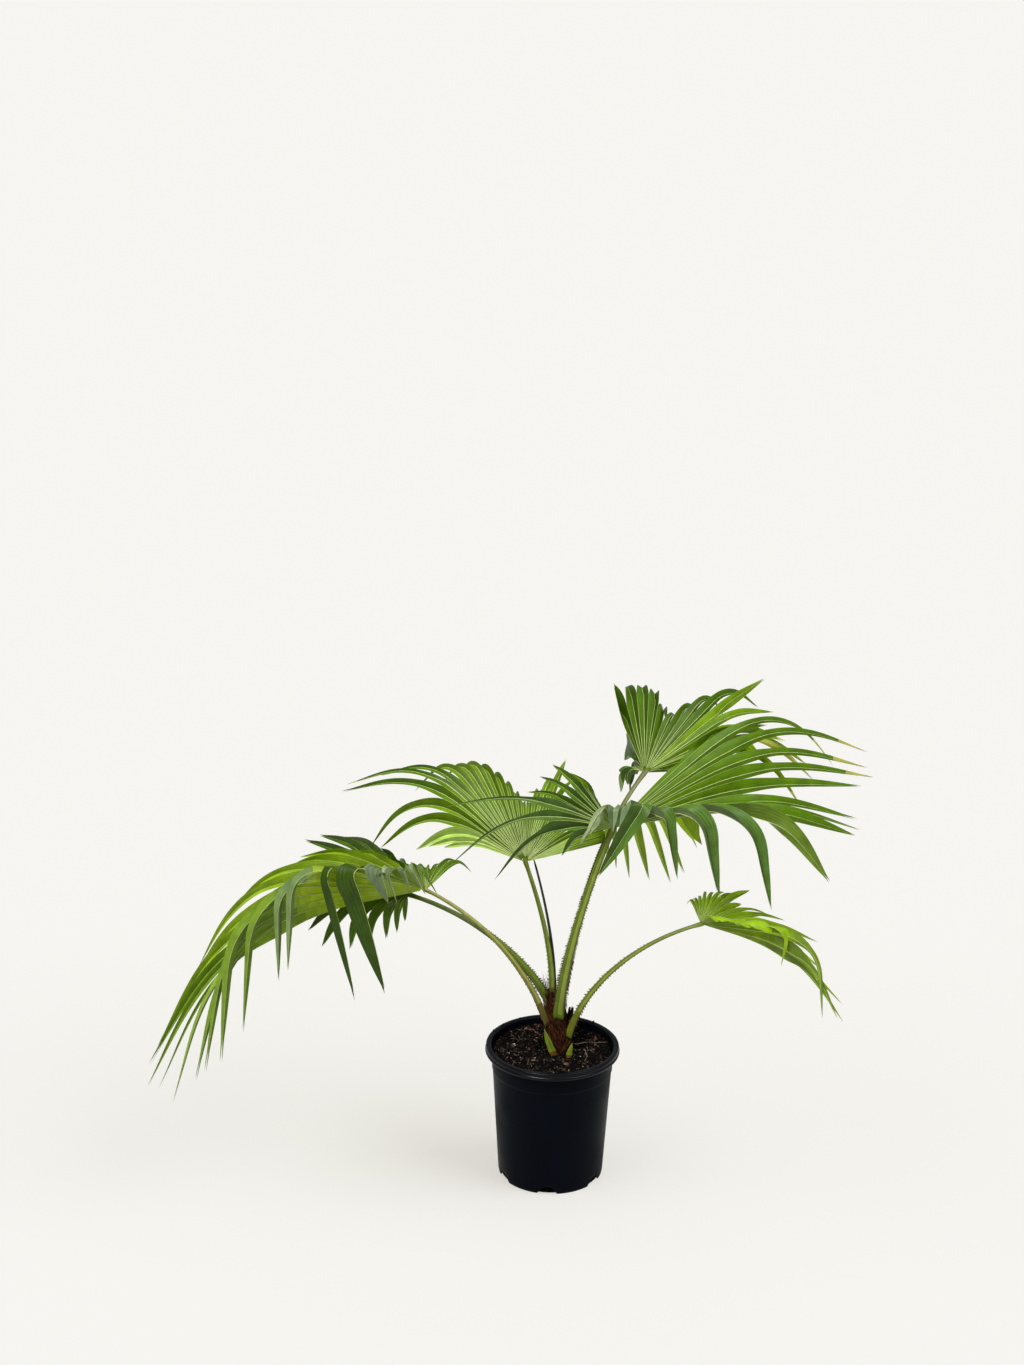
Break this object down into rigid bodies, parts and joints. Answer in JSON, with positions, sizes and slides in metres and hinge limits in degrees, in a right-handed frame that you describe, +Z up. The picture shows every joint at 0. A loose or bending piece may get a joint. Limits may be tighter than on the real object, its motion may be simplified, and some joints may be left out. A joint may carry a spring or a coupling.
{
  "type": "potted chinese fan palm",
  "caption": "Young potted fan palm: pleated fan fronds arch out on toothed stalks from a short fibrous trunk in a round black nursery pot.",
  "frame": {"origin": "middle of the pot's flat underside, on the surface that it stands on", "axes": "+Z up, -Y towards the front of the plant, +X to its right"},
  "size_m": [1.0785, 0.4003, 0.7131],
  "materials": {
    "pot": "satin black moulded nursery plastic",
    "soil": "dark moist potting mix with bark, grit and roots",
    "trunk": "red-brown fibrous leaf bases",
    "stalk": "smooth green leaf stalks with small hooked teeth",
    "spear": "dull, nearly black",
    "fibre": "coarse dark fibre",
    "leaf": "pleated green leaf with a waxy sheen"
  },
  "bodies": {
    "root": {"pot": "pot", "soil": "soil", "trunk": "trunk", "leaf_base_left": "stalk", "leaf_base_right": "stalk", "fibre_tuft": "fibre", "spear": "spear", "petiole_left_front": "stalk", "petiole_left_rear": "stalk", "petiole_centre": "stalk", "petiole_right_front": "stalk", "petiole_right_rear": "stalk", "petiole_right_low": "stalk", "frond_left_front": "leaf", "frond_left_front_fall": "leaf", "frond_left_rear": "leaf", "frond_centre": "leaf", "frond_right_front": "leaf", "frond_right_front_fall": "leaf", "frond_right_rear": "leaf", "frond_right_low": "leaf"}
  },
  "joints": []
}
